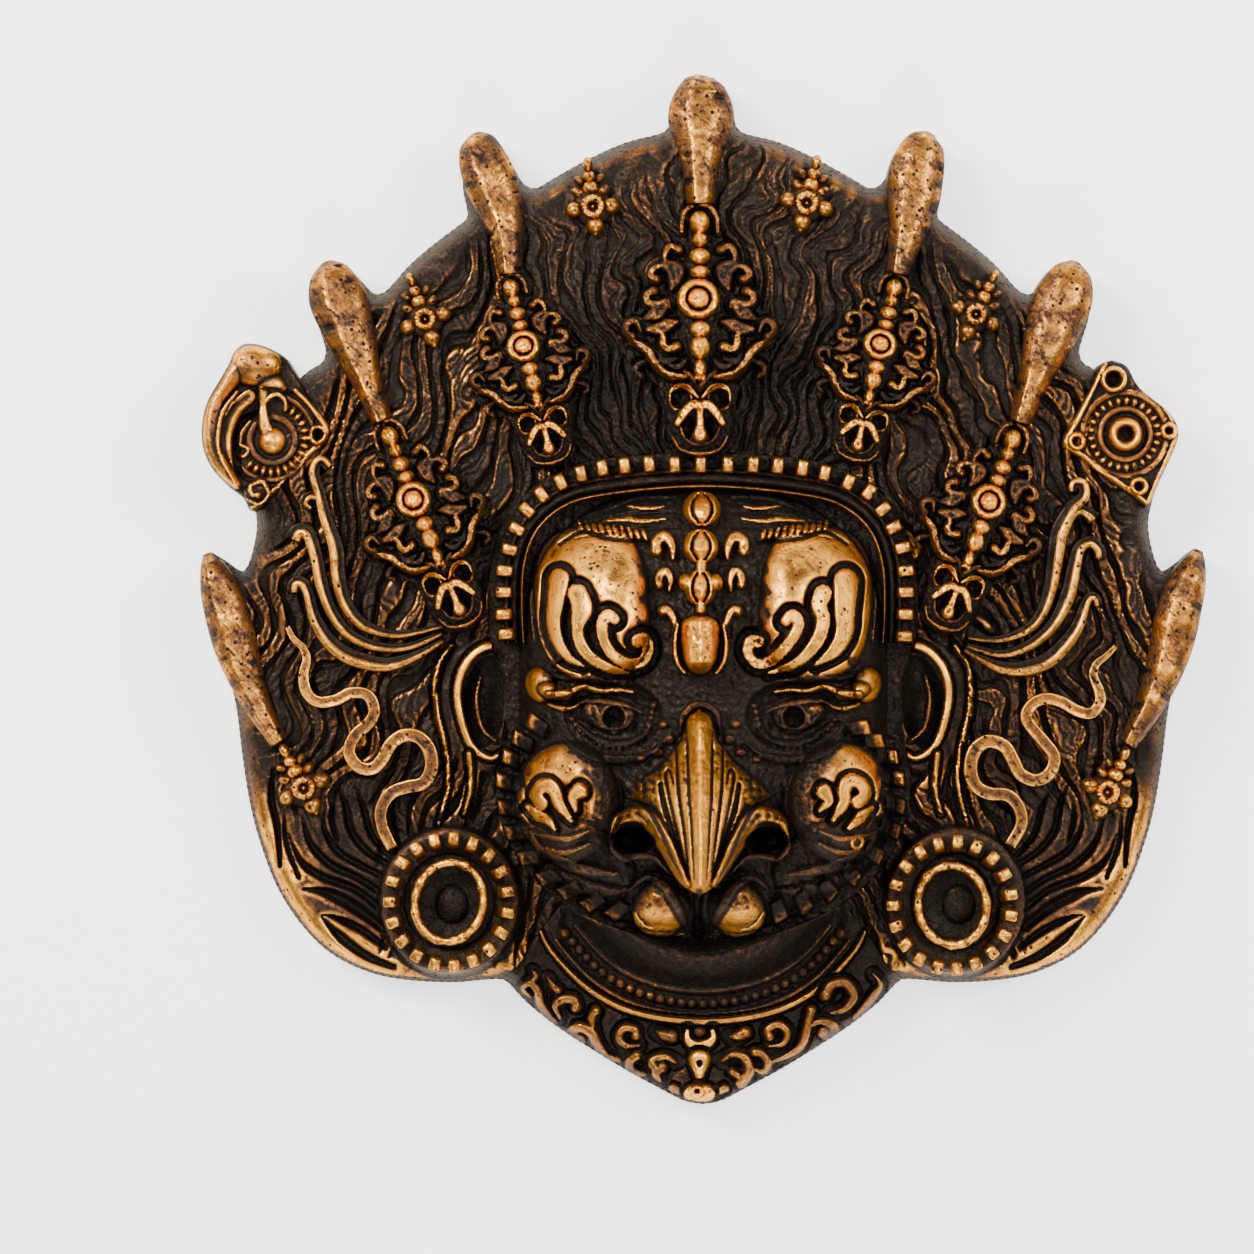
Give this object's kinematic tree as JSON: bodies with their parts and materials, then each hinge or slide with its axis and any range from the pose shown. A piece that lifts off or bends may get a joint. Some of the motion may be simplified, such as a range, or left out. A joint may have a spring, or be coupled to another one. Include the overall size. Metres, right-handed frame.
{
  "type": "garuda mask",
  "caption": "Small cast bronze wall mask of a beaked garuda face with a skull crown, side ribbons, earrings and a filigree collar, hollow behind with a flat back rim",
  "frame": {"origin": "middle of the bounding box in X and Y, on the plane of the flat back rim, which the mask lies on", "axes": "+X to the viewer's right across the face, +Y up to the crown, +Z out of the face"},
  "size_m": [0.1232, 0.1267, 0.0377],
  "materials": {
    "aged_bronze": "aged copper alloy, black-brown patina in the recesses and rubbed bronze on the high points"
  },
  "bodies": {
    "root": {"garuda_mask": "aged_bronze"}
  },
  "joints": []
}
